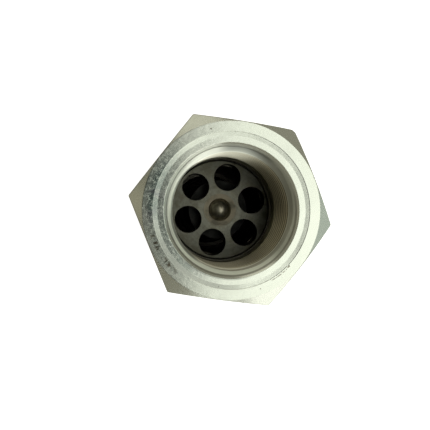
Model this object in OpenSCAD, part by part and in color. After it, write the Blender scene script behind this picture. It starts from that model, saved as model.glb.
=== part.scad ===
/* [Body] */
// Width across the flats of the hexagon bar
across_flats = 46; // [44:0.5:50]
// Length of the body from port face to port face
body_length = 110; // [108:1:130]
// Diameter of the turned end face where the corner chamfers start
face_d = 45.6; // [42.5:0.1:45.8]
// Angle of the corner chamfers below the end face
corner_angle = 30; // [20:1:35]
// Diameter that the bar's drawn corners are rounded off to
corner_d = 53; // [51.5:0.1:57]
// Depth of the knock on one corner of the outlet end, 0 for none
corner_knock = 0.35; // [0:0.05:1.5]

/* [Ports] */
// Major diameter of the port thread, the plain wall of the port
thread_d = 33.25; // [33:0.05:33.5]
// Length of the outlet's thread wall, down to the guide plate's ring
outlet_thread_length = 24; // [17:0.5:24]
// Length of the inlet's thread wall
inlet_thread_length = 19; // [17:0.5:20]
// Diameter of the port mouth on the sealing face
mouth_d = 34.8; // [34:0.1:36]
// Diameter of the recess at the end face
recess_d = 40.4; // [39:0.1:42]
// Diameter of the flat sealing face at the recess floor
sealing_d = 38; // [37:0.1:38.8]
// Depth of the recess
recess_depth = 0.15; // [0.1:0.05:0.8]

/* [Bore] */
// Diameter of the bore that takes the guide plate or the seat ring
cartridge_d = 30.2; // [30:0.05:30.2]
// Diameter of the chamber round the spring
chamber_d = 27.2; // [25:0.1:28]
// Diameter of the opening in the shoulder over the seat ring
shoulder_d = 24.4; // [24.4:0.1:25]
// Thickness of that shoulder
shoulder_t = 3.6; // [3:0.1:4]
// Depth of the guide plate's outer face below the outlet face
plate_depth = 29.1; // [28:0.1:32]
// Depth of the seat ring's outer face above the inlet face
seat_depth = 24; // [24:0.1:28]

/* [Guide plate] */
// Thickness of the guide plate
plate_t = 6; // [5:0.1:8]
// Diameter of the six flow holes
flow_hole_d = 7.9; // [6:0.02:8.2]
// Diameter of the circle the flow holes lie on
flow_pcd = 19.8; // [19:0.1:20.4]
// Turn of the flow holes from the hexagon's corners
flow_turn = 25; // [0:1:59]
// Outer diameter of the guide bush
bush_d = 9.6; // [9:0.1:9.8]
// Length of the guide bush
bush_length = 11; // [9:0.5:13]

/* [Poppet] */
// Bore of the seat ring
seat_bore_d = 18; // [16:0.5:18]
// Outer diameter of the poppet's head
poppet_d = 21.2; // [20.4:0.1:22]
// Lift of the poppet from its seat
lift = 5; // [3:0.5:5]
// Diameter of the stem pin
stem_d = 6; // [5:0.5:6.5]
// Height of the domed stem end above the guide plate when the valve is shut
stem_proud = 1.3; // [0.5:0.1:3]

/* [Spring] */
// Diameter of the spring wire
wire_d = 2.8; // [2:0.1:2.8]
// Mean diameter of the coils
coil_d = 15.2; // [15:0.1:15.4]
// Number of active coils
active_coils = 6; // [4:1:6]

/* [Hidden] */

$fn = 96;

// Slip fit between a loose piece and its bore, and the running fit of what slides
slip = 0.05;
running = 0.04;
// Margin by which a cutting shape passes the face it cuts
past = 1;

// Heights along the bore, from the inlet face at zero
plate_top = body_length - plate_depth;
plate_bottom = plate_top - plate_t;
seat_bottom = seat_depth;
shoulder_z = seat_bottom + 10.4;
chamber_floor = shoulder_z + shoulder_t;
seat_top = chamber_floor + 0.6;

// Round wire rings, their grooves and the bevel of the piece they hold
ring_wire_d = 1.2;
ring_coil_r = cartridge_d / 2 + 0.2;
groove_r = ring_wire_d / 2 + 0.05;
ring_bevel = 0.6;
ring_seat_gap = 0.02;
ring_gap_angle = 24;
held_r = cartridge_d / 2 - slip;
// Distance of the wire's centre outside the held face, where the wire lies on the bevel
ring_rise = (held_r - ring_bevel) - ring_coil_r + sqrt(2) * (ring_wire_d / 2 + ring_seat_gap);

// Seat ring
seat_land = 1.4;
nose_r = shoulder_d / 2 - 0.1;
gland_bottom = seat_bottom + 3;
gland_width = 4.6;
gland_depth = 2.25;
o_ring_d = 2.62;
backup_t = 1.3;

// Poppet
seat_clearance = 0.03;
rim_h = 2.2;
rim_bevel = 0.4;
spigot_r = seat_bore_d / 2 - running;
spigot_h = 7;
neck_h = 1.2;
flute_count = 3;
flute_r = 6.4;
flute_centre_r = 8.6;
hub_r = 6;
stop_gap = 0.05;
cone_low_r = seat_bore_d / 2 - 0.6;
cone_low_z = seat_top - seat_land + seat_clearance + (cone_low_r - seat_bore_d / 2);
rim_low_z = cone_low_z + poppet_d / 2 - cone_low_r;
rim_top_z = rim_low_z + rim_h;
pin_hole_depth = 10;
pin_floor_gap = 0.1;
centre_drill_r = 1.6;

// Stack of rings between poppet, spring and plate
washer_t = 1.5;
washer_r = 9.2;
shim_r = 8.9;
shim_bore_r = bush_d / 2 + 0.15;
shim_t = [1, 0.5, 0.3];
shim_total = shim_t[0] + shim_t[1] + shim_t[2];
seat_flange_t = 1.6;
seat_hub_h = 3;
spring_low_z = rim_top_z + washer_t;
upper_seat_top = plate_bottom - shim_total;
spring_high_z = upper_seat_top - seat_flange_t;
// The poppet's hub meets the upper seat's hub when the valve is fully open
hub_top_z = spring_high_z - seat_hub_h - stop_gap - lift;

// Spring: the end coils are closed and ground flat
closed_pitch = wire_d + 0.08;
tip_height = 0.3;
spring_length = spring_high_z - spring_low_z;
ring_steps = 26;
wire_sides = 10;
total_coils = active_coils + 2;
tip_mid = (wire_d / 2 - tip_height) / 2;
first_active_z = closed_pitch - tip_height;
active_pitch = (spring_length - 2 * first_active_z) / active_coils;

// Height of the wire's centre after a number of turns
function wire_z(t) =
    t < 1 ? closed_pitch * t - tip_height :
    t > total_coils - 1 ? spring_length - closed_pitch * (total_coils - t) + tip_height :
    first_active_z + active_pitch * (t - 1);

// One point on the wire's skin, held between the two ground planes
function wire_point(t, a) =
    let (r = coil_d / 2 + wire_d / 2 * cos(a), z = wire_z(t) + wire_d / 2 * sin(a))
    [r * cos(360 * t), r * sin(360 * t), spring_low_z + min(spring_length, max(0, z))];

// Middle of the cut face at either tip of the wire
function tip_centre(t, z) = [coil_d / 2 * cos(360 * t), coil_d / 2 * sin(360 * t), spring_low_z + z];

// Hexagon with one corner on the X axis
module hexagon(flats) {
    circle(d = flats / cos(30), $fn = 6);
}

// Disc of revolution from a list of radius and height points
module turned(points) {
    rotate_extrude() polygon(points);
}

// Everything that one port cuts, with its face at height zero and the bore going down
module port_cut(wall_length, bore_depth) {
    wall_top = recess_depth + (mouth_d - thread_d) / 2;
    wall_end = wall_top + wall_length;
    step_end = wall_end + (thread_d - cartridge_d) / 2;
    turned([
        [0, past], [recess_d / 2, past], [recess_d / 2, 0],
        [sealing_d / 2, -recess_depth], [mouth_d / 2, -recess_depth],
        [thread_d / 2, -wall_top], [thread_d / 2, -wall_end],
        [cartridge_d / 2, -step_end], [cartridge_d / 2, -bore_depth], [0, -bore_depth]
    ]);
}

// Half-round groove for a round wire ring
module ring_groove(z) {
    rotate_extrude() translate([ring_coil_r, z]) circle(r = groove_r, $fn = 48);
}

// Round wire ring with its gap to one side
module wire_ring(z, gap_direction) {
    translate([0, 0, z])
        rotate([0, 0, gap_direction + ring_gap_angle / 2])
            rotate_extrude(angle = 360 - ring_gap_angle)
                translate([ring_coil_r, 0]) circle(d = ring_wire_d, $fn = 48);
}

// Flat ring between two heights
module flat_ring(outer_r, inner_r, z, t) {
    translate([0, 0, z]) difference() {
        cylinder(r = outer_r, h = t);
        translate([0, 0, -past]) cylinder(r = inner_r, h = t + 2 * past);
    }
}

// Bar with turned end faces: the corners fall away from each face
module turned_bar() {
    reach = across_flats / sqrt(3) + past;
    drop = (reach - face_d / 2) * tan(corner_angle);
    intersection() {
        linear_extrude(body_length) hexagon(across_flats);
        turned([
            [0, 0], [face_d / 2, 0], [reach, drop], [reach, body_length - drop],
            [face_d / 2, body_length], [0, body_length]
        ]);
        cylinder(d = corner_d, h = body_length);
    }
}

// Wedge that takes the knocked tip off one corner of the outlet end and fades out below it
module knock_cut() {
    knock_h = 8;
    lean = atan(corner_knock / knock_h);
    rotate([0, 0, 60])
        translate([corner_d / 2, 0, body_length - knock_h])
            rotate([0, -lean, 0])
                translate([0, -across_flats / 4, 0])
                    cube([across_flats / 4, across_flats / 2, knock_h + past]);
}

module valve_body() {
    color([0.78, 0.8, 0.75]) difference() {
        turned_bar();
        translate([0, 0, body_length]) port_cut(outlet_thread_length, body_length - plate_bottom);
        mirror([0, 0, 1]) port_cut(inlet_thread_length, shoulder_z);
        translate([0, 0, chamber_floor]) cylinder(d = chamber_d, h = plate_bottom - chamber_floor + past);
        translate([0, 0, shoulder_z - past]) cylinder(d = shoulder_d, h = shoulder_t + 2 * past);
        ring_groove(plate_top + ring_rise);
        ring_groove(seat_bottom - ring_rise);
        if (corner_knock > 0) knock_cut();
    }
}

// Hardened ring: the poppet closes on the bevel at the top of its nose
module valve_seat() {
    bore_r = seat_bore_d / 2;
    lead_in = 1.5;
    gland_r = held_r - gland_depth;
    color([0.45, 0.46, 0.47]) turned([
        [bore_r + lead_in, seat_bottom], [held_r - ring_bevel, seat_bottom], [held_r, seat_bottom + ring_bevel],
        [held_r, gland_bottom], [gland_r, gland_bottom],
        [gland_r, gland_bottom + gland_width], [held_r, gland_bottom + gland_width],
        [held_r, shoulder_z], [nose_r, shoulder_z], [nose_r, seat_top - rim_bevel],
        [nose_r - rim_bevel, seat_top], [bore_r + seat_land, seat_top],
        [bore_r, seat_top - seat_land], [bore_r, seat_bottom + lead_in]
    ]);
}

// Seal squeezed between the gland's floor and the bore
module seat_o_ring() {
    squeeze = gland_depth + slip - 2 * ring_seat_gap;
    gland_r = held_r - gland_depth;
    color([0.06, 0.06, 0.06]) rotate_extrude()
        translate([gland_r + ring_seat_gap + squeeze / 2, gland_bottom + 0.1 + o_ring_d / 2])
            intersection() {
                circle(d = o_ring_d, $fn = 48);
                square([squeeze, o_ring_d], center = true);
            }
}

module seat_backup_ring() {
    gland_r = held_r - gland_depth;
    color([0.9, 0.88, 0.8])
        flat_ring(held_r, gland_r + ring_seat_gap, gland_bottom + gland_width - backup_t - 0.1, backup_t);
}

module seat_retaining_ring() {
    color([0.12, 0.12, 0.13]) wire_ring(seat_bottom - ring_rise, 90);
}

// Cone, rim and spring hub in one turning, with flutes milled along the spigot
module poppet() {
    neck_r = cone_low_r;
    spigot_top = cone_low_z - neck_h;
    spigot_low = spigot_top - spigot_h;
    color([0.5, 0.51, 0.52]) difference() {
        turned([
            [0, spigot_low], [spigot_r - rim_bevel, spigot_low], [spigot_r, spigot_low + rim_bevel],
            [spigot_r, spigot_top], [neck_r, spigot_top], [neck_r, cone_low_z],
            [poppet_d / 2, rim_low_z], [poppet_d / 2, rim_top_z - rim_bevel],
            [poppet_d / 2 - rim_bevel, rim_top_z], [hub_r, rim_top_z],
            [hub_r, hub_top_z - rim_bevel], [hub_r - rim_bevel, hub_top_z], [0, hub_top_z]
        ]);
        for (i = [0 : flute_count - 1])
            rotate([0, 0, i * 360 / flute_count])
                translate([flute_centre_r, 0, spigot_low - past])
                    cylinder(r = flute_r, h = spigot_h + neck_h + past);
        translate([0, 0, hub_top_z - pin_hole_depth]) cylinder(d = stem_d, h = pin_hole_depth + past);
        translate([0, 0, spigot_low - past])
            cylinder(r1 = centre_drill_r + past * tan(30), r2 = 0, h = past + centre_drill_r / tan(30));
    }
}

// Ground pin pressed into the poppet's hub, with a domed outer end
module stem_pin() {
    low = hub_top_z - pin_hole_depth + pin_floor_gap;
    high = plate_top + stem_proud;
    dome_r = stem_d * 0.6;
    dome_h = dome_r - sqrt(pow(dome_r, 2) - pow(stem_d / 2, 2));
    color([0.72, 0.72, 0.7]) {
        translate([0, 0, low]) cylinder(d = stem_d, h = high - dome_h - low);
        intersection() {
            translate([0, 0, high - dome_h]) cylinder(d = stem_d, h = dome_h);
            translate([0, 0, high - dome_r]) sphere(r = dome_r);
        }
    }
}

module lower_spring_seat() {
    color([0.4, 0.41, 0.42]) flat_ring(washer_r, hub_r + slip, rim_top_z, washer_t);
}

// Wire swept along the coils, with both ends closed and ground flat
module relief_spring() {
    rings = total_coils * ring_steps;
    skin = [
        for (i = [0 : rings]) for (j = [0 : wire_sides - 1])
            wire_point(i / ring_steps, 360 * j / wire_sides)
    ];
    sides = [
        for (i = [0 : rings - 1]) for (j = [0 : wire_sides - 1])
            let (k = (j + 1) % wire_sides, a = i * wire_sides, b = a + wire_sides)
            each [[a + j, b + j, b + k], [a + j, b + k, a + k]]
    ];
    last = rings * wire_sides;
    hub = len(skin);
    start_cap = [for (j = [0 : wire_sides - 1]) [hub, j, (j + 1) % wire_sides]];
    end_cap = [for (j = [0 : wire_sides - 1]) [hub + 1, last + (j + 1) % wire_sides, last + j]];
    points = concat(skin, [tip_centre(0, tip_mid), tip_centre(total_coils, spring_length - tip_mid)]);
    color([0.3, 0.3, 0.31]) polyhedron(points, concat(sides, start_cap, end_cap));
}

// Collar that centres the spring under the shims
module upper_spring_seat() {
    flange_low = upper_seat_top - seat_flange_t;
    color([0.6, 0.6, 0.58]) turned([
        [shim_bore_r, flange_low - seat_hub_h], [hub_r - rim_bevel, flange_low - seat_hub_h],
        [hub_r, flange_low - seat_hub_h + rim_bevel], [hub_r, flange_low], [shim_r, flange_low],
        [shim_r, upper_seat_top], [shim_bore_r, upper_seat_top]
    ]);
}

module shim(below_plate, t) {
    color([0.7, 0.7, 0.66]) flat_ring(shim_r, shim_bore_r, plate_bottom - below_plate - t, t);
}

// Round plate: flow holes round the guide bush, outer edge bevelled for the wire ring
module guide_plate() {
    hole_bevel = 0.1;
    color([0.36, 0.36, 0.32]) difference() {
        turned([
            [0, plate_bottom], [held_r - rim_bevel, plate_bottom], [held_r, plate_bottom + rim_bevel],
            [held_r, plate_top - ring_bevel], [held_r - ring_bevel, plate_top], [0, plate_top]
        ]);
        translate([0, 0, plate_bottom - past]) cylinder(d = bush_d, h = plate_t + 2 * past);
        for (i = [0 : 5])
            rotate([0, 0, flow_turn + i * 60]) translate([flow_pcd / 2, 0, 0]) {
                translate([0, 0, plate_bottom - past]) cylinder(d = flow_hole_d, h = plate_t + 2 * past);
                translate([0, 0, plate_top - hole_bevel])
                    cylinder(d1 = flow_hole_d, d2 = flow_hole_d + 4 * hole_bevel, h = 2 * hole_bevel);
            }
    }
}

module guide_bush() {
    bore_r = stem_d / 2 + running;
    low = plate_top - bush_length;
    lead_in = 0.35;
    color([0.5, 0.42, 0.28]) turned([
        [bore_r + lead_in, low], [bush_d / 2, low], [bush_d / 2, plate_top],
        [bore_r + lead_in, plate_top], [bore_r, plate_top - lead_in], [bore_r, low + lead_in]
    ]);
}

module plate_retaining_ring() {
    color([0.1, 0.1, 0.11]) wire_ring(plate_top + ring_rise, 188);
}

valve_body();
valve_seat();
seat_o_ring();
seat_backup_ring();
seat_retaining_ring();
poppet();
stem_pin();
lower_spring_seat();
relief_spring();
upper_spring_seat();
shim(0, shim_t[0]);  // thick_shim
shim(shim_t[0], shim_t[1]);  // middle_shim
shim(shim_t[0] + shim_t[1], shim_t[2]);  // thin_shim
guide_plate();
guide_bush();
plate_retaining_ring();
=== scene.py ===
"""Looks of an in-line hydraulic relief valve in a hexagon body.

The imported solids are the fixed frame. This script turns the body with its rounded edges, winds the
turns of the port threads and the spring's wire, gives every piece its finish and sets up the studio.
Sizes are in millimetres and become metres when a mesh is made.
"""

import logging
import math
from dataclasses import dataclass
from enum import Enum
from typing import Sequence

import bmesh
import bpy
from mathutils import Matrix, Vector


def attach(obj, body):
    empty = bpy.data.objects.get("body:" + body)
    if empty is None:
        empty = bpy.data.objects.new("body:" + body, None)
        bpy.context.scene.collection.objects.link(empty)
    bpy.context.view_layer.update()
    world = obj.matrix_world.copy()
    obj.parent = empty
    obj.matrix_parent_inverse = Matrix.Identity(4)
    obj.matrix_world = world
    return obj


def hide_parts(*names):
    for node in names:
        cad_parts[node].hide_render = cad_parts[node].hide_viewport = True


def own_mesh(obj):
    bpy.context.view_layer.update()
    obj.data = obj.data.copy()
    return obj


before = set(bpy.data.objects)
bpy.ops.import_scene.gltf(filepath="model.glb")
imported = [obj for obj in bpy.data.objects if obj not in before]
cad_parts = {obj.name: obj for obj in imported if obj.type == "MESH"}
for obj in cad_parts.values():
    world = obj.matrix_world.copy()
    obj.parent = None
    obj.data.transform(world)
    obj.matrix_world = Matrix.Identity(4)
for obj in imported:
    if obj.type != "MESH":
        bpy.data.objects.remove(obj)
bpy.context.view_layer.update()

LOG = logging.getLogger("relief_valve")
MM = 0.001
HOUSING = "housing"

Point = tuple[float, float, float]
Colour = tuple[float, float, float]


class Value:
    """A number that varies over a mesh: one node socket, with Python's operators as Math nodes."""

    def __init__(self, tree: "NodeTree", socket: bpy.types.NodeSocket) -> None:
        """Keep the tree and the socket."""
        self.tree = tree
        self.socket = socket

    def __add__(self, other: "Value | float") -> "Value":
        """Sum."""
        return self.tree.math("ADD", self, other)

    def __sub__(self, other: "Value | float") -> "Value":
        """Difference."""
        return self.tree.math("SUBTRACT", self, other)

    def __rsub__(self, other: float) -> "Value":
        """Difference, with the number first."""
        return self.tree.math("SUBTRACT", other, self)

    def __mul__(self, other: "Value | float") -> "Value":
        """Product."""
        return self.tree.math("MULTIPLY", self, other)

    def __truediv__(self, other: "Value | float") -> "Value":
        """Quotient."""
        return self.tree.math("DIVIDE", self, other)

    __radd__ = __add__
    __rmul__ = __mul__


class NodeTree:
    """The nodes of one material or one geometry rule."""

    def __init__(self, tree: bpy.types.NodeTree) -> None:
        """Start from an empty tree."""
        self.tree = tree
        tree.nodes.clear()

    def add(self, kind: str, settings: dict | None = None, inputs: dict | None = None) -> bpy.types.Node:
        """Add one node.

        Args:
            kind: Type of the node.
            settings: Its settings by name; "stops" are a ramp's places and colours.
            inputs: Its sockets by name or number, each a value, a socket or a Value.

        Returns:
            The node.
        """
        node = self.tree.nodes.new(kind)
        for name, value in (settings or {}).items():
            if name == "stops":
                self._set_stops(node.color_ramp, value)
            else:
                setattr(node, name, value)
        for key, value in (inputs or {}).items():
            self.feed(node.inputs[key], value)
        return node

    @staticmethod
    def _set_stops(ramp: bpy.types.ColorRamp, stops: Sequence[tuple[float, Colour]]) -> None:
        """Give a ramp its stops.

        Args:
            ramp: Ramp with its two first stops.
            stops: Places and colours, in rising order.
        """
        while len(ramp.elements) < len(stops):
            ramp.elements.new(1.0)
        for element, (place, colour) in zip(ramp.elements, stops):
            element.position = place
            element.color = (*colour, 1.0)

    def feed(self, socket: bpy.types.NodeSocket, value: object) -> None:
        """Link or set one socket.

        Args:
            socket: Socket to feed.
            value: A Value, a socket, or a plain value.
        """
        source = value.socket if isinstance(value, Value) else value
        if isinstance(source, bpy.types.NodeSocket):
            self.tree.links.new(source, socket)
        else:
            socket.default_value = source

    def math(self, operation: str, *values: "Value | float") -> Value:
        """Add a Math node.

        Args:
            operation: Name of the operation.
            values: Its operands.

        Returns:
            The result.
        """
        node = self.add("ShaderNodeMath", {"operation": operation}, dict(enumerate(values)))
        return Value(self, node.outputs[0])

    def clamp(self, value: Value) -> Value:
        """Hold a value between 0 and 1."""
        return Value(self, self.add("ShaderNodeClamp", inputs={"Value": value}).outputs[0])

    def ramp_up(self, value: Value, low: float, high: float) -> Value:
        """Rise smoothly from 0 to 1.

        Args:
            value: What varies.
            low: Value at which the result is 0.
            high: Value at which the result is 1; it may be below low.

        Returns:
            The smooth step.
        """
        node = self.add(
            "ShaderNodeMapRange",
            {"interpolation_type": "SMOOTHSTEP"},
            {"Value": value, "From Min": low, "From Max": high},
        )
        return Value(self, node.outputs["Result"])

    def band(self, value: Value, low: float, high: float, soft: float) -> Value:
        """Mask of a range with soft ends.

        Args:
            value: What varies.
            low: Start of the range.
            high: End of the range.
            soft: Width of each soft end, half inside and half outside.

        Returns:
            1 inside the range and 0 outside.
        """
        rise = self.ramp_up(value, low - soft / 2, low + soft / 2)
        return rise * self.ramp_up(value, high + soft / 2, high - soft / 2)

    def combine(self, x: object, y: object, z: object) -> bpy.types.NodeSocket:
        """Make a vector of three values."""
        return self.add("ShaderNodeCombineXYZ", inputs={0: x, 1: y, 2: z}).outputs[0]


@dataclass(frozen=True)
class Sector:
    """A sector round the axis, in degrees from the corner on the X axis.

    Its mask is 1 within the half angle called full and 0 outside the half angle called end.
    """

    middle: float
    full: float
    end: float


@dataclass(frozen=True)
class Spot:
    """A small round mark on an end face: its direction in degrees, distance from the axis and radius."""

    angle: float
    radius: float
    size: float


class MaterialTree(NodeTree):
    """Shader nodes of one finish, with the places on the valve as ready values in millimetres."""

    def __init__(self, name: str) -> None:
        """Make the material, its shader and its coordinates.

        Args:
            name: Name of the material.
        """
        self.material = bpy.data.materials.new(name)
        self.material.use_nodes = True
        super().__init__(self.material.node_tree)
        self.shader = self.add("ShaderNodeBsdfPrincipled")
        output = self.add("ShaderNodeOutputMaterial")
        self.tree.links.new(self.shader.outputs[0], output.inputs["Surface"])
        place = self.add("ShaderNodeTexCoord").outputs["Object"]
        scale = self.add("ShaderNodeVectorMath", {"operation": "SCALE"}, {0: place, "Scale": 1 / MM})
        self.place = scale.outputs[0]
        split = self.add("ShaderNodeSeparateXYZ", inputs={0: self.place})
        self.x, self.y, self.z = (Value(self, s) for s in split.outputs)
        self.radius = self.math("SQRT", self.x * self.x + self.y * self.y)
        self.side_x = self.x / self.math("MAXIMUM", self.radius, 0.01)
        self.side_y = self.y / self.math("MAXIMUM", self.radius, 0.01)

    def noise(self, vector: object, scale: float, detail: float = 2.0, roughness: float = 0.5) -> Value:
        """Soft random pattern.

        Args:
            vector: Where the pattern is read.
            scale: Patches per unit.
            detail: Finer layers.
            roughness: Strength of the finer layers.

        Returns:
            A value round 0.5.
        """
        node = self.add(
            "ShaderNodeTexNoise",
            {"noise_dimensions": "3D"},
            {"Vector": vector, "Scale": scale, "Detail": detail, "Roughness": roughness},
        )
        return Value(self, node.outputs[0])

    def ring_lines(self, along: Value, per_mm: float, wander: float = 0.6, seed: float = 0.0) -> Value:
        """Tool marks that run round the axis.

        Args:
            along: Radius on a face, or height on a wall.
            per_mm: Marks per millimetre.
            wander: How much the marks change round the axis.
            seed: Shift to another part of the pattern.

        Returns:
            A value round 0.5.
        """
        vector = self.combine(self.side_x * wander, self.side_y * wander, along * per_mm + seed)
        return self.noise(vector, 1.0, 3.0, 0.65)

    def spokes(self, around: float, along: Value, per_mm: float, seed: float = 0.0) -> Value:
        """Marks that run across the tool marks.

        Args:
            around: Half the number of marks round the axis, over pi.
            along: Radius on a face, or height on a wall.
            per_mm: How often a mark breaks off per millimetre.
            seed: Shift to another part of the pattern.

        Returns:
            A value round 0.5.
        """
        vector = self.combine(self.side_x * around, self.side_y * around, along * per_mm + seed)
        return self.noise(vector, 1.0, 4.0, 0.6)

    def toward(self, sector: Sector) -> Value:
        """Mask of a sector.

        Args:
            sector: The sector.

        Returns:
            1 in its middle and 0 outside.
        """
        turn = math.radians(sector.middle)
        cosine = self.side_x * math.cos(turn) + self.side_y * math.sin(turn)
        return self.ramp_up(cosine, math.cos(math.radians(sector.end)), math.cos(math.radians(sector.full)))

    def spot(self, mark: Spot) -> Value:
        """Mask of a small round mark on an end face.

        Args:
            mark: The mark.

        Returns:
            1 in its middle and 0 outside.
        """
        turn = math.radians(mark.angle)
        across = self.x - mark.radius * math.cos(turn)
        along = self.y - mark.radius * math.sin(turn)
        distance = self.math("SQRT", across * across + along * along)
        return self.ramp_up(distance, mark.size, mark.size * 0.4)

    def flat_distance(self) -> Value:
        """Distance from the axis, measured square to the nearest flat of the hexagon.

        Returns:
            The distance, which is the same all over one flat.
        """
        cosine, sine = math.cos(math.radians(30)), math.sin(math.radians(30))
        first = self.math("ABSOLUTE", self.x * cosine + self.y * sine)
        second = self.math("ABSOLUTE", self.x * cosine - self.y * sine)
        return self.math("MAXIMUM", self.math("MAXIMUM", first, second), self.math("ABSOLUTE", self.y))

    def blend(self, factor: object, first: object, second: object) -> bpy.types.NodeSocket:
        """Mix two colours.

        Args:
            factor: 0 for the first and 1 for the second.
            first: A colour or a socket.
            second: A colour or a socket.

        Returns:
            The mixed colour.
        """
        tints = [(*c, 1.0) if isinstance(c, tuple) else c for c in (first, second)]
        node = self.add("ShaderNodeMix", {"data_type": "RGBA"}, {0: factor, 6: tints[0], 7: tints[1]})
        return node.outputs[2]

    def shade(self, colour: object, amount: Value) -> bpy.types.NodeSocket:
        """Multiply a colour by a value.

        Args:
            colour: A colour or a socket.
            amount: Factor on all three of its channels.

        Returns:
            The shaded colour.
        """
        tint = (*colour, 1.0) if isinstance(colour, tuple) else colour
        grey = self.combine(amount, amount, amount)
        node = self.add("ShaderNodeMix", {"data_type": "RGBA", "blend_type": "MULTIPLY"}, {0: 1.0, 6: tint, 7: grey})
        return node.outputs[2]

    def relief(self, height: Value, depth: float, under: bpy.types.NodeSocket | None = None) -> bpy.types.NodeSocket:
        """Raise the surface by a pattern.

        Args:
            height: Pattern between 0 and 1.
            depth: Height of the pattern in millimetres.
            under: Normal from a coarser relief.

        Returns:
            The normal.
        """
        inputs = {"Strength": 1.0, "Distance": depth * MM, "Height": height}
        if under is not None:
            inputs["Normal"] = under
        return self.add("ShaderNodeBump", inputs=inputs).outputs[0]

    def dress(self, **inputs: object) -> bpy.types.Material:
        """Feed the shader's sockets and give the material.

        Args:
            inputs: Sockets by name, with an underscore for each space.

        Returns:
            The material.
        """
        for name, value in inputs.items():
            socket = self.shader.inputs[name.replace("_", " ").title().replace("Ior", "IOR")]
            self.feed(socket, (*value, 1.0) if isinstance(value, tuple) and len(value) == 3 else value)
        return self.material


class Family(Enum):
    """Metal or not, as the shader's Metallic value."""

    METAL = 1.0
    PLATED = 0.86
    OTHER = 0.0


@dataclass(frozen=True)
class PlatedPlaces:
    """Masks of the plated body's surfaces and painted highlights, its depth from the nearer end and the patterns in
    its plating.
    """

    deep: Value
    end: Value
    end_zone: Value
    face: Value
    recess: Value
    bore: Value
    groove_highlight: Value
    cone_highlight: Value
    outside: Value
    clouds: Value
    speckle: Value
    grains: Value
    flecks: Value
    drawn: Value


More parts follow.
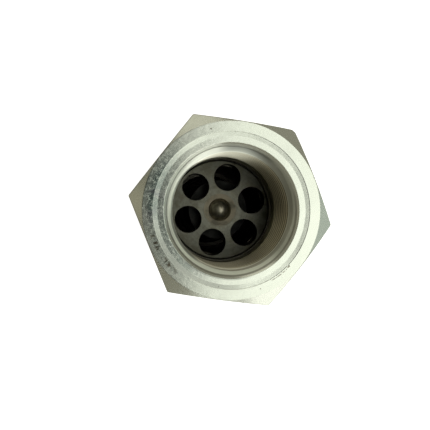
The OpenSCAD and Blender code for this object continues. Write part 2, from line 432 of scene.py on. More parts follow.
@dataclass(frozen=True)
class PlatedSteel:
    """Pale zinc plating over turned ends and drawn flats, oiled and stained in the bore, with painted shade and
    highlights.

    The sectors say where round the axis each kind of rubbed plating, soiling, painted shade or painted highlight lies.
    """

    name: str = "plated_steel"
    pale: Colour = (0.76, 0.79, 0.70)
    dull: Colour = (0.19, 0.245, 0.225)
    violet: Colour = (0.205, 0.225, 0.235)
    oil_and_shade_tint: Colour = (0.62, 0.58, 0.43)
    dirt_and_shade: Colour = (0.13, 0.105, 0.065)
    chamber_shade_black: Colour = (0.05, 0.045, 0.035)
    length: float = 110.0
    face_radius: float = 22.8
    recess_radius: float = 20.2
    seal_radius: float = 19.0
    mouth_radius: float = 17.4
    crest_radius: float = 15.145
    stroke_radii: tuple[float, float] = (20.6, 21.6)
    scuff_radii: tuple[float, float] = (20.5, 20.7)
    groove_radii: tuple[float, float] = (16.5, 16.95)
    groove_highlight_radii: tuple[float, float] = (15.5, 16.5)
    dull_groove_radii: tuple[float, float] = (16.0, 16.8)
    flank_radii: tuple[float, float] = (15.35, 16.6)
    cone_radii: tuple[float, float] = (16.75, 17.35)
    crest_edge_radii: tuple[float, float] = (15.95, 15.6)
    edge_distances: tuple[float, float] = (22.72, 22.95)
    chamber_shade_depths: tuple[float, float] = (26.5, 29.0)
    # Rubbed plating on the face and seal, darker there also as painted shade.
    worn_and_shaded_face: Sector = Sector(192.0, 10.0, 62.0)
    worn_and_shaded_seal: Sector = Sector(202.0, 8.0, 70.0)
    # Painted shade on the recess.
    second_recess_shade: Sector = Sector(192.0, 30.0, 62.0)
    lighter_rim: Sector = Sector(219.0, 20.0, 50.0)
    lighter_face: Sector = Sector(219.0, 8.0, 34.0)
    tool_strokes: Sector = Sector(219.0, 10.0, 20.0)
    scuffed_edge: Sector = Sector(-44.0, 7.0, 9.0)
    dirty_edge: Sector = Sector(165.0, 50.0, 95.0)
    # Painted shade and a painted highlight on the recess.
    recess_shade: Sector = Sector(242.0, 12.0, 50.0)
    recess_highlight: Sector = Sector(308.0, 10.0, 30.0)
    dark_mouth: Sector = Sector(262.0, 18.0, 38.0)
    cone_highlight: Sector = Sector(139.0, 18.0, 38.0)
    oiled_and_shaded_wall: Sector = Sector(-20.0, 60.0, 150.0)
    dirty_and_shaded_roots: Sector = Sector(-20.0, 50.0, 100.0)
    dark_groove: Sector = Sector(-67.0, 70.0, 105.0)
    groove_highlight: Sector = Sector(236.0, 65.0, 95.0)
    dull_groove: Sector = Sector(176.0, 25.0, 55.0)
    dark_flank: Sector = Sector(82.0, 14.0, 31.0)
    deep_side_shade_sector: Sector = Sector(38.0, 14.0, 52.0)
    dim_wall: Sector = Sector(272.0, 28.0, 62.0)
    dim_crest: Sector = Sector(218.0, 14.0, 34.0)
    spots: tuple[Spot, ...] = (
        Spot(-36.0, 20.5, 0.32),
        Spot(-37.3, 20.35, 0.2),
        Spot(-61.8, 21.3, 0.2),
        Spot(30.0, 22.9, 0.3),
        Spot(113.0, 21.4, 0.28),
        Spot(-92.0, 19.6, 0.16),
    )

    def _places(self, t: MaterialTree) -> PlatedPlaces:
        """Find the surfaces and lay out the patterns.

        Args:
            t: The finish's nodes.

        Returns:
            The masks and patterns.
        """
        deep = self.length / 2 - t.math("ABSOLUTE", t.z - self.length / 2)
        end = t.ramp_up(deep, 1.2, 0.7)
        face = end * t.ramp_up(t.radius, self.mouth_radius - 0.15, self.mouth_radius + 0.15)
        bore = t.ramp_up(t.radius, self.mouth_radius - 0.2, self.mouth_radius - 0.6)
        # The first groove is rougher on one side, and lighter there as a painted highlight.
        groove = bore * t.band(t.radius, *self.groove_highlight_radii, 0.3) * t.ramp_up(deep, 3.6, 2.8)
        cone = t.band(t.radius, *self.cone_radii, 0.15) * t.toward(self.cone_highlight)
        speckle = t.noise(t.place, 1.0, 4.0, 0.66)
        grains = t.noise(t.place, 5.0, 3.0, 0.6)
        return PlatedPlaces(
            deep=deep,
            end=end,
            end_zone=t.ramp_up(deep, 4.0, 3.0),
            face=face * t.ramp_up(t.radius, self.face_radius + 0.3, self.face_radius),
            recess=t.band(t.radius, self.seal_radius, self.recess_radius, 0.2),
            bore=bore,
            groove_highlight=groove * t.toward(self.groove_highlight),
            cone_highlight=cone * t.ramp_up(deep, 2.0, 1.2),
            outside=t.ramp_up(t.radius, self.face_radius - 0.1, self.face_radius + 0.1),
            clouds=t.noise(t.place, 0.16, 3.0),
            speckle=speckle,
            grains=grains,
            flecks=t.ramp_up(speckle * 0.75 + grains * 0.25, 0.46, 0.64),
            drawn=t.noise(t.combine(t.x * 3.2, t.y * 3.2, t.z * 0.045), 1.0, 4.0, 0.6),
        )

    def _wear_and_shade(self, t: MaterialTree, places: PlatedPlaces) -> Value:
        """Wear of the plating on the end faces, with painted shade where they are darker on one side.

        Args:
            t: The finish's nodes.
            places: Masks and patterns.

        Returns:
            0 where the plating is whole and unshaded, up to about 1.
        """
        edge = self.seal_radius
        rim = t.ramp_up(t.radius, self.face_radius - 2.1, self.face_radius - 0.5)
        fade = 0.4 + t.toward(self.lighter_rim) * 0.38
        worn_and_shaded = t.toward(self.worn_and_shaded_face) * t.ramp_up(t.radius, edge - 0.2, edge + 0.1)
        worn_and_shaded = worn_and_shaded * (1.08 - rim * fade)
        worn_and_shaded = worn_and_shaded * (1.0 - t.toward(self.lighter_face) * 0.62)
        seal = t.toward(self.worn_and_shaded_seal) * t.ramp_up(t.radius, edge + 0.1, edge - 0.2)
        return (worn_and_shaded + seal * 0.62) * places.face * (1.0 - places.recess * 0.3)

    def _marks(self, t: MaterialTree, places: PlatedPlaces) -> Value:
        """Dirt in spots, scuffs and tool strokes and on the outer edge.

        Args:
            t: The finish's nodes.
            places: Masks and patterns.

        Returns:
            0 where it is clean, up to 1.
        """
        scuffs = t.band(t.radius, *self.scuff_radii, 0.14) * t.toward(self.scuffed_edge)
        marks = scuffs * t.ramp_up(t.spokes(38.0, t.radius, 0.3), 0.47, 0.52) * places.face
        for spot in self.spots:
            marks = marks + t.spot(spot) * places.end
        strokes = t.ramp_up(t.spokes(21.0, t.radius, 0.4, 2.0), 0.5, 0.545)
        strokes = strokes * t.band(t.radius, *self.stroke_radii, 0.6) * t.toward(self.tool_strokes)
        marks = marks + strokes * places.face * 1.1
        edge = t.ramp_up(t.flat_distance(), *self.edge_distances) * places.outside
        edge = edge * places.end_zone * t.toward(self.dirty_edge)
        return t.clamp(marks * 0.85 + edge * 0.7)

    def _root_dirt_and_shade(self, t: MaterialTree, places: PlatedPlaces) -> Value:
        """Dirt and painted shade at the bottom of the thread's grooves and in its first groove, more on one side.

        Args:
            t: The finish's nodes.
            places: Masks and patterns.

        Returns:
            0 where it is clean, up to 1.
        """
        # The root darkens with dirt and with painted shade, more on one side.
        root = t.ramp_up(t.radius, self.crest_radius + 0.1, self.crest_radius + 0.35)
        root = root * 0.8 * t.ramp_up(places.deep, 2.6, 4.0)
        stained = 0.3 + t.toward(self.dirty_and_shaded_roots) * 0.7
        groove = t.band(t.radius, *self.groove_radii, 0.14) * t.toward(self.dark_groove)
        return places.bore * (root * stained + groove * 0.5)

    def _tint(self, t: MaterialTree, places: PlatedPlaces, wear_and_shade: Value, root_dirt_and_shade: Value) -> bpy.types.NodeSocket:
        """Colour before its light and dark places.

        Args:
            t: The finish's nodes.
            places: Masks and patterns.
            wear_and_shade: Wear of the plating, with painted shade.
            root_dirt_and_shade: Dirt and painted shade in the thread's root.

        Returns:
            The colour.
        """
        # Oil film deeper in the bore, stronger on one side as painted shade.
        oil = places.bore * t.ramp_up(places.deep, 2.0, 5.5) * (0.35 + t.toward(self.oiled_and_shaded_wall) * 0.65)
        dark = t.clamp(wear_and_shade * (1.0 - places.flecks * 0.5))
        # Painted shade: the bore's wall turns near black deep in from either end.
        blackened = places.bore * t.ramp_up(places.deep, *self.chamber_shade_depths)
        bare = t.blend(t.ramp_up(places.clouds, 0.54, 0.66), self.dull, self.violet)
        tint = t.blend(oil, self.pale, self.oil_and_shade_tint)
        tint = t.blend(dark, tint, bare)
        tint = t.blend(root_dirt_and_shade, tint, self.dirt_and_shade)
        tint = t.blend(blackened * 0.9, tint, self.chamber_shade_black)
        return t.blend(self._marks(t, places), tint, self.dirt_and_shade)

    def _wall_shade(self, t: MaterialTree, places: PlatedPlaces, shade: Value) -> Value:
        """Paint highlights on the thread's crests and on one side of its first groove, and paint shade on one side of
        the wall, darker deeper in the bore.

        Args:
            t: The finish's nodes.
            places: Masks and patterns.
            shade: Factor on the colour so far.

        Returns:
            The new factor.
        """
        deep = places.deep
        # Painted highlight on the crests.
        crest = t.ramp_up(t.radius, self.crest_radius + 0.16, self.crest_radius + 0.04)
        crest = places.bore * crest * t.ramp_up(deep, 1.0, 2.0)
        # Painted shade on one side, darker the deeper it goes.
        deep_side_shade = t.ramp_up(deep, 0.8, 15.0) * 0.7 + t.band(deep, 0.9, 3.4, 1.2) * 0.42
        deep_side_shade = places.bore * deep_side_shade * t.toward(self.deep_side_shade_sector)
        return (shade + crest * 0.25 + places.groove_highlight * 0.3) * (1.0 - deep_side_shade * 0.8)

    def _end_shade(self, t: MaterialTree, places: PlatedPlaces, shade: Value) -> Value:
        """Paint shade and a highlight on the recess, and darken the mouth's edge on one side.

        Args:
            t: The finish's nodes.
            places: Masks and patterns.
            shade: Factor on the colour so far.

        Returns:
            The new factor.
        """
        recess = places.recess
        shade = shade - recess * 0.03
        shade = shade * (1.0 - recess * t.toward(self.recess_shade) * 0.38)
        shade = shade * (1.0 - recess * t.toward(self.second_recess_shade) * 0.15)
        shade = shade + recess * t.toward(self.recess_highlight) * 0.2
        edge = t.band(t.radius, self.mouth_radius - 0.1, self.mouth_radius + 0.35, 0.16)
        return shade * (1.0 - edge * places.end * t.toward(self.dark_mouth) * 0.34)

    def _turn_shade(self, t: MaterialTree, places: PlatedPlaces, shade: Value) -> Value:
        """Darken parts of the thread's first turn and of the wall below it.

        Args:
            t: The finish's nodes.
            places: Masks and patterns.
            shade: Factor on the colour so far.

        Returns:
            The new factor.
        """
        deep = places.deep
        first_turn = t.ramp_up(deep, 3.0, 2.0)
        groove = places.bore * t.band(t.radius, *self.dull_groove_radii, 0.4) * first_turn * t.toward(self.dull_groove)
        flank = places.bore * t.band(t.radius, *self.flank_radii, 0.3) * first_turn * t.toward(self.dark_flank)
        shade = shade * (1.0 - groove * 0.26) * (1.0 - flank * 0.5)
        wall = t.ramp_up(deep, 0.6, 10.0) * t.toward(self.dim_wall)
        edge = t.ramp_up(t.radius, *self.crest_edge_radii) * t.ramp_up(deep, 0.8, 1.8) * t.toward(self.dim_crest)
        return shade * (1.0 - places.bore * t.math("MAXIMUM", wall, edge) * 0.62)

    def _roughness(self, t: MaterialTree, places: PlatedPlaces, wear_and_shade: Value, root_dirt_and_shade: Value) -> Value:
        """Roughness of every surface.

        Args:
            t: The finish's nodes.
            places: Masks and patterns.
            wear_and_shade: Wear of the plating, with painted shade.
            root_dirt_and_shade: Dirt and painted shade in the thread's root.

        Returns:
            The roughness, between 0 and 1.
        """
        rough = 0.2 + wear_and_shade * (places.flecks * 0.13 - 0.02) + (places.speckle - 0.5) * 0.06
        rough = rough + places.bore * 0.12 + root_dirt_and_shade * 0.2 + places.recess * 0.04
        rough = rough + places.outside * (0.07 + (places.drawn - 0.5) * 0.2)
        return t.clamp(rough + places.groove_highlight * 0.34 + places.cone_highlight * 0.22)

    def _normal(self, t: MaterialTree, places: PlatedPlaces, wear_and_shade: Value) -> bpy.types.NodeSocket:
        """Relief of unevenness, tool marks and grain, from coarse to fine.

        Args:
            t: The finish's nodes.
            places: Masks and patterns.
            wear_and_shade: Wear of the plating, with painted shade.

        Returns:
            The normal.
        """
        turned = t.ring_lines(t.radius, 5.5) * places.face * 0.35
        bored = t.ring_lines(t.z, 6.0, 0.8, 3.0) * places.bore
        normal = t.relief(t.noise(t.place, 0.35, 2.0), 0.03)
        normal = t.relief(turned + bored + places.drawn * places.outside, 0.01, normal)
        return t.relief(places.flecks * wear_and_shade + places.grains * (0.1 + wear_and_shade * 0.4), 0.007, normal)

    def material(self) -> bpy.types.Material:
        """Build the finish.

        Returns:
            The material.
        """
        t = MaterialTree(self.name)
        places = self._places(t)
        wear_and_shade = self._wear_and_shade(t, places)
        root_dirt_and_shade = self._root_dirt_and_shade(t, places)
        shade = 0.88 + (places.clouds - 0.5) * 0.14 + (places.speckle - 0.5) * (0.06 + wear_and_shade * 0.3)
        for step in (self._wall_shade, self._end_shade, self._turn_shade):
            shade = step(t, places, shade)
        # Painted highlight on one side of the mouth's cone, which is also rougher there.
        shade = shade + places.cone_highlight * 0.34
        shade = shade - places.outside * ((places.drawn - 0.5) * 0.3 + (1.0 - places.end_zone) * 0.34)
        return t.dress(
            base_color=t.shade(self._tint(t, places, wear_and_shade, root_dirt_and_shade), shade),
            metallic=Family.PLATED.value,
            roughness=self._roughness(t, places, wear_and_shade, root_dirt_and_shade),
            normal=self._normal(t, places, wear_and_shade),
        )


@dataclass(frozen=True)
class TurnedMetal:
    """A turned or ground metal with tool marks round the axis, blotches and small pits."""

    name: str
    colour: Colour
    stain: Colour
    roughness: float = 0.35
    marks_per_mm: float = 5.0
    mark_depth: float = 0.01
    stain_amount: float = 0.5
    blotch_size: float = 3.0

    def material(self) -> bpy.types.Material:
        """Build the finish.

        Returns:
            The material.
        """
        t = MaterialTree(self.name)
        normal = t.add("ShaderNodeNewGeometry").outputs["True Normal"]
        up = t.math("ABSOLUTE", Value(t, t.add("ShaderNodeSeparateXYZ", inputs={0: normal}).outputs[2]))
        flat = t.ramp_up(up, 0.35, 0.75)
        on_face = t.ring_lines(t.radius, self.marks_per_mm)
        on_wall = t.ring_lines(t.z, self.marks_per_mm, 0.7, 5.0)
        marks = on_wall + flat * (on_face - on_wall)
        blotches = t.noise(t.place, 1.0 / self.blotch_size, 4.0, 0.6)
        grit = t.noise(t.place, 3.5, 3.0, 0.6)
        stained = t.ramp_up(blotches, 0.42, 0.64) * self.stain_amount
        shade = 0.9 + (marks - 0.5) * 0.3 + (grit - 0.5) * 0.2
        rough = self.roughness + (marks - 0.5) * 0.12 + stained * 0.14 + (grit - 0.5) * 0.08
        relief = t.relief(marks + grit * 0.35, self.mark_depth)
        return t.dress(
            base_color=t.shade(t.blend(stained, self.colour, self.stain), shade),
            metallic=Family.METAL.value,
            roughness=t.clamp(rough),
            normal=relief,
        )


@dataclass(frozen=True)
class GuidePlateSteel:
    """Dull dark turned steel under an oil film, with chatter marks round the bush."""

    name: str = "dull_steel"
    colour: Colour = (0.165, 0.165, 0.135)
    oil: Colour = (0.085, 0.08, 0.055)
    roughness: float = 0.42
    chatter_radius: float = 5.9

    def material(self) -> bpy.types.Material:
        """Build the finish.

        Returns:
            The material.
        """
        t = MaterialTree(self.name)
        rings = t.ring_lines(t.radius, 3.4, 0.5)
        fine = t.ring_lines(t.radius, 9.0, 0.9, 4.0)
        patches = t.noise(t.place, 0.28, 4.0, 0.62)
        grit = t.noise(t.place, 4.0, 4.0, 0.65)
        near_bush = t.band(t.radius, self.chatter_radius - 1.0, self.chatter_radius + 0.6, 0.5)
        chatter = t.spokes(26.0, t.radius, 0.3, 9.0) * near_bush
        film = t.ramp_up(patches, 0.40, 0.62)
        shade = 0.9 + (rings - 0.5) * 0.5 + (grit - 0.5) * 0.35 + chatter * 0.4
        rough = self.roughness - film * 0.1 + (grit - 0.5) * 0.2 + (fine - 0.5) * 0.1
        normal = t.relief(rings * 0.7 + fine * 0.3, 0.02)
        normal = t.relief(grit + chatter, 0.012, normal)
        return t.dress(
            base_color=t.shade(t.blend(film * 0.7, self.colour, self.oil), shade),
            metallic=Family.METAL.value,
            roughness=t.clamp(rough),
            normal=normal,
        )


@dataclass(frozen=True)
class SoftRing:
    """Rubber or PTFE of a sealing ring, with mould or knife marks."""

    name: str
    colour: Colour
    roughness: float
    grain_depth: float = 0.01

    def material(self) -> bpy.types.Material:
        """Build the finish.

        Returns:
            The material.
        """
        t = MaterialTree(self.name)
        grain = t.noise(t.place, 5.0, 4.0, 0.6)
        marks = t.ring_lines(t.z, 4.0)
        shade = 0.9 + (grain - 0.5) * 0.3 + (marks - 0.5) * 0.15
        return t.dress(
            base_color=t.shade(self.colour, shade),
            metallic=Family.OTHER.value,
            roughness=t.clamp(self.roughness + (grain - 0.5) * 0.2),
            normal=t.relief(grain * 0.5 + marks * 0.5, self.grain_depth),
        )


Finish = TurnedMetal | GuidePlateSteel | SoftRing


def inner_finishes() -> dict[str, Finish]:
    """Finish of each piece inside the body.

    Returns:
        The finishes by the name of the node.
    """
    hardened = TurnedMetal("hardened_steel", (0.05, 0.05, 0.046), (0.035, 0.033, 0.029), 0.6, 6.0, 0.004)
    ground = TurnedMetal(
        "ground_steel", (0.44, 0.41, 0.32), (0.25, 0.23, 0.165), 0.38, 8.0, 0.005, stain_amount=0.8, blotch_size=1.4
    )
    shim = TurnedMetal("blued_steel", (0.03, 0.03, 0.028), (0.02, 0.02, 0.017), 0.5, 6.0, 0.004)
    wire = TurnedMetal("black_wire", (0.2, 0.195, 0.17), (0.15, 0.14, 0.11), 0.44, 1.0, 0.004)
    spring_seat = TurnedMetal("blackened_steel", (0.05, 0.05, 0.045), (0.028, 0.028, 0.024), 0.5, 4.0, 0.01)
    bronze = TurnedMetal("bronze", (0.23, 0.205, 0.15), (0.165, 0.155, 0.115), 0.45, 6.0, 0.008, stain_amount=0.8)
    return {
        "valve_seat": hardened,
        "poppet": hardened,
        "lower_spring_seat": hardened,
        "stem_pin": ground,
        "thick_shim": shim,
        "middle_shim": shim,
        "thin_shim": shim,
        "upper_spring_seat": spring_seat,
        "guide_plate": GuidePlateSteel(),
        "guide_bush": bronze,
        "plate_retaining_ring": wire,
        "seat_retaining_ring": wire,
        "seat_o_ring": SoftRing("nitrile_rubber", (0.02, 0.02, 0.02), 0.5),
        "seat_backup_ring": SoftRing("white_ptfe", (0.8, 0.79, 0.74), 0.4),
    }


def keep_mesh(name: str, mesh: bpy.types.Mesh, material: bpy.types.Material, body: str) -> bpy.types.Object:
    """Make a finished piece of a mesh.

    Args:
        name: Name of the piece.
        mesh: Its mesh, in metres and in place.
        material: Its finish.
        body: Body that it rides on.

    Returns:
        The piece, riding on its body.
    """
    mesh.name = name
    mesh.materials.clear()
    mesh.materials.append(material)
    mesh.polygons.foreach_set("use_smooth", [True] * len(mesh.polygons))
    piece = bpy.data.objects.new(name, mesh)
    bpy.context.scene.collection.objects.link(piece)
    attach(piece, body)
    LOG.info("%s: %d faces", name, len(mesh.polygons))
    return piece


def closed_mesh(points: Sequence[Point], faces: Sequence[Sequence[int]]) -> bpy.types.Mesh:
    """Make a clean mesh that faces outwards.

    Args:
        points: Places in millimetres.
        faces: Corners of each face.

    Returns:
        The mesh in metres, with doubles merged and normals outwards.
    """
    mesh = bpy.data.meshes.new("piece")
    mesh.from_pydata([tuple(v * MM for v in p) for p in points], [], [tuple(f) for f in faces])
    return tidy_mesh(mesh)


def tidy_mesh(mesh: bpy.types.Mesh, merge: float = 0.002) -> bpy.types.Mesh:
    """Merge doubles and turn the faces outwards.

    Args:
        mesh: Mesh in metres.
        merge: Distance in millimetres below which points are one.

    Returns:
        The same mesh.
    """
    work = bmesh.new()
    work.from_mesh(mesh)
    bmesh.ops.remove_doubles(work, verts=work.verts, dist=merge * MM)
    bmesh.ops.recalc_face_normals(work, faces=work.faces)
    work.to_mesh(mesh)
    work.free()
    mesh.update()
    return mesh


@dataclass(frozen=True)
class Corner:
    """A corner of a section: its place and the radius it is rounded off to."""

    radius: float
    height: float
    rounding: float = 0.0


def rounded_section(corners: Sequence[Corner], steps: int = 3, brace: float = 0.12) -> list[tuple[float, float]]:
    """Round the corners of a closed section.

    Args:
        corners: Corners in order.
        steps: Pieces of each rounding.
        brace: Distance of an extra point beside each rounding, which keeps the flats flat in shading.

    Returns:
        Radius and height of each point.
    """
    out: list[tuple[float, float]] = []
    count = len(corners)
    for i, c in enumerate(corners):
        here = Vector((c.radius, c.height))
        if not c.rounding:
            out.append((c.radius, c.height))
            continue
        before = Vector((corners[i - 1].radius, corners[i - 1].height)) - here
        after = Vector((corners[(i + 1) % count].radius, corners[(i + 1) % count].height)) - here
        room = min(before.length, after.length)
        before.normalize()
        after.normalize()
        half = before.angle(after) / 2
        reach = min(c.rounding / math.tan(half), room * 0.42)
        radius = reach * math.tan(half)
        centre = here + (before + after).normalized() * (radius / math.sin(half))
        support = min(brace, max(0.0, room * 0.48 - reach))
        start, stop = here + before * reach, here + after * reach
        out.append(tuple(start + before * support))
        first, last = start - centre, stop - centre
        sweep = first.angle(last)
        for k in range(steps + 1):
            share = k / steps
            arm = (first * math.sin((1 - share) * sweep) + last * math.sin(share * sweep)) / math.sin(sweep)
            out.append(tuple(centre + arm))
        out.append(tuple(stop + after * support))
    return out


@dataclass(frozen=True)
class Nick:
    """A nick in an edge: its direction and half width in degrees, and its depth."""

    angle: float
    half_width: float
    depth: float


@dataclass(frozen=True)
class HexagonBody:
    """The body: hexagon bar with turned ends, recessed ports and a stepped bore through it.

    The knock is in the corner at knock_corner degrees, and its half width is in radians.
    """

    flats: float = 46.0
    length: float = 110.0
    face_radius: float = 22.8
    corner_slope: float = 30.0
    corner_rounding: float = 0.5
    recess_radius: float = 20.2
    seal_radius: float = 19.0
    recess_depth: float = 0.15
    recess_lip: float = 0.14
    mouth_radius: float = 17.4
    thread_radius: float = 16.625
    outlet_thread: float = 24.0
    inlet_thread: float = 19.0
    bore_radius: float = 15.1
    chamber_radius: float = 13.6
    shoulder_radius: float = 12.2
    shoulder: tuple[float, float] = (34.4, 38.0)
    plate_floor: float = 74.9
    ring_heights: tuple[float, float] = (23.973, 80.927)
    ring_centre: float = 15.3
    groove_radius: float = 0.65
    knock_corner: float = 60.0
    knock_depth: float = 0.35
    knock_height: float = 8.0
    knock_half_width: float = 0.3
    edge: float = 0.14
    nicks: tuple[Nick, ...] = (
        Nick(-36.0, 1.1, 0.3),
        Nick(-43.0, 0.5, 0.14),
        Nick(-47.5, 0.7, 0.16),
        Nick(-53.0, 0.5, 0.12),
    )

    def _groove(self, height: float) -> list[Corner]:
        """Section of a half-round groove in the bore, from below.

        Args:
            height: Height of its middle.

        Returns:
            Its corners.
        """
        inset = self.bore_radius - self.ring_centre
        start = math.degrees(math.acos(inset / self.groove_radius))
        turns = [-start + 2 * start * k / 8 for k in range(9)]
        return [
            Corner(
                self.ring_centre + self.groove_radius * math.cos(math.radians(a)),
                height + self.groove_radius * math.sin(math.radians(a)),
            )
            for a in turns
        ]

    def _port(self, thread_length: float) -> list[Corner]:
        """Section of one port from the end of its thread to the end face.

        Args:
            thread_length: Length of its thread wall.

        Returns:
            Its corners, with depths as negative heights.
        """
        cone = self.mouth_radius - self.thread_radius
        wall = self.recess_depth + cone
        step = self.thread_radius - self.bore_radius
        return [
            Corner(self.bore_radius, -(wall + thread_length + step), 0.1),
            Corner(self.thread_radius, -(wall + thread_length), 0.1),
            Corner(self.thread_radius, -wall, 0.06),
            Corner(self.mouth_radius, -self.recess_depth, 0.09),
            Corner(self.seal_radius, -self.recess_depth, 0.04),
            Corner(self.recess_radius - self.recess_lip, -self.recess_depth * 0.3, 0.04),
            Corner(self.recess_radius, 0.0, 0.05),
        ]

    def _reach(self, angle: float) -> float:
        """Distance of the outside from the axis.

        Args:
            angle: Direction in degrees from a corner.

        Returns:
            The distance, with the bar's corners rounded.
        """
        off = abs((angle + 30.0) % 60.0 - 30.0)
        flat = self.flats / 2
        tangent = self.corner_rounding * math.tan(math.radians(30))
        side = flat / math.cos(math.radians(30))
        edge_angle = math.degrees(math.atan2(flat, side / 2 - tangent)) - 60.0
        if off >= edge_angle:
            return flat / math.cos(math.radians(30.0 - off))
        middle = (flat - self.corner_rounding) / math.cos(math.radians(30))
        turn = math.radians(off)
        return middle * math.cos(turn) + math.sqrt(self.corner_rounding**2 - (middle * math.sin(turn)) ** 2)

    def _bite(self, angle: float) -> float:
        """Depth of the nicks in the outlet recess's edge in one direction.

        Args:
            angle: Direction in degrees from a corner.

        Returns:
            The depth.
        """
        deepest = 0.0
        for nick in self.nicks:
            off = abs((angle - nick.angle + 180.0) % 360.0 - 180.0) / nick.half_width
            deepest = max(deepest, nick.depth * (1.0 - off * off))
        return deepest

    def _outside(self, angle: float) -> list[Corner]:
        """Section of the outside in one direction, from the outlet face down to the inlet face.

        Args:
            angle: Direction in degrees.

        Returns:
            Its corners.
        """
        reach = self._reach(angle)
        slope = math.tan(math.radians(self.corner_slope))
        low = (reach - self.face_radius) * slope
        off = math.radians((angle - self.knock_corner + 180.0) % 360.0 - 180.0)
        lean = self.knock_depth / self.knock_height
        tip = self._reach(0.0)
        rim, belt = reach, reach
        if abs(off) < self.knock_half_width:
            knocked = (tip - self.knock_depth - lean * slope * self.face_radius) / (math.cos(off) - lean * slope)
            rim = min(reach, knocked)
            belt = min(reach, tip / math.cos(off))
        high = self.length - (rim - self.face_radius) * slope
        return [
            Corner(self.face_radius, self.length, self.edge),
            Corner(rim, high, self.edge),
            Corner(belt, self.length - self.knock_height, 0.0),
            Corner(reach, low, self.edge),
            Corner(self.face_radius, 0.0, self.edge),
        ]

    def _section(self, angle: float) -> list[tuple[float, float]]:
        """Whole closed section in one direction.

        Args:
            angle: Direction in degrees.

        Returns:
            Radius and height of each point.
        """
        low, high = self.shoulder
        inlet = [Corner(c.radius, -c.height, c.rounding) for c in reversed(self._port(self.inlet_thread))]
        outlet = [Corner(c.radius, self.length + c.height, c.rounding) for c in self._port(self.outlet_thread)]
        outlet[-1] = Corner(self.recess_radius + self._bite(angle), self.length, 0.05)
        inside = [
            *inlet,
            *self._groove(self.ring_heights[0]),
            Corner(self.bore_radius, low, 0.06),
            Corner(self.shoulder_radius, low, 0.1),
            Corner(self.shoulder_radius, high, 0.1),
            Corner(self.chamber_radius, high, 0.1),
            Corner(self.chamber_radius, self.plate_floor, 0.1),
            Corner(self.bore_radius, self.plate_floor, 0.06),
            *self._groove(self.ring_heights[1]),
            *outlet,
        ]
        return rounded_section([*inside, *self._outside(angle)])

    def _directions(self) -> list[float]:
        """Directions of the columns, closer together at the corners and in the nicks.

        Returns:
            The directions in degrees, in rising order.
        """
        every = {float(a) for a in range(0, 360)}
        close = {k * 60.0 + s * o for k in range(6) for s in (-1, 1) for o in (0.42, 0.84, 1.26, 1.68, 2.1, 2.5)}
        nicked = {n.angle + n.half_width * o for n in self.nicks for o in (-1.0, -0.7, -0.3, 0.2, 0.6, 1.0)}
        return sorted({round(a % 360.0, 3) for a in every | close | nicked})

    def mesh(self) -> bpy.types.Mesh:
        """Build the body as one closed grid round the axis.

        Returns:
            Its mesh.
        """
        angles = self._directions()
        points: list[Point] = []
        for a in angles:
            c, s = math.cos(math.radians(a)), math.sin(math.radians(a))
            points.extend((r * c, r * s, z) for r, z in self._section(a))
        rows = len(points) // len(angles)
        faces = []
        for i in range(len(angles)):
            here, there = i * rows, (i + 1) % len(angles) * rows
            for j in range(rows):
                k = (j + 1) % rows
                faces.append((here + j, there + j, there + k, here + k))
        return closed_mesh(points, faces)

    def dress(self, finish: PlatedSteel) -> bpy.types.Material:
        """Make the body and give it its finish.

        Args:
            finish: The finish.

        Returns:
            The material, for the threads.
        """
        material = finish.material()
        piece = keep_mesh("machined_body", self.mesh(), material, HOUSING)
        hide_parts("valve_body")
        return material


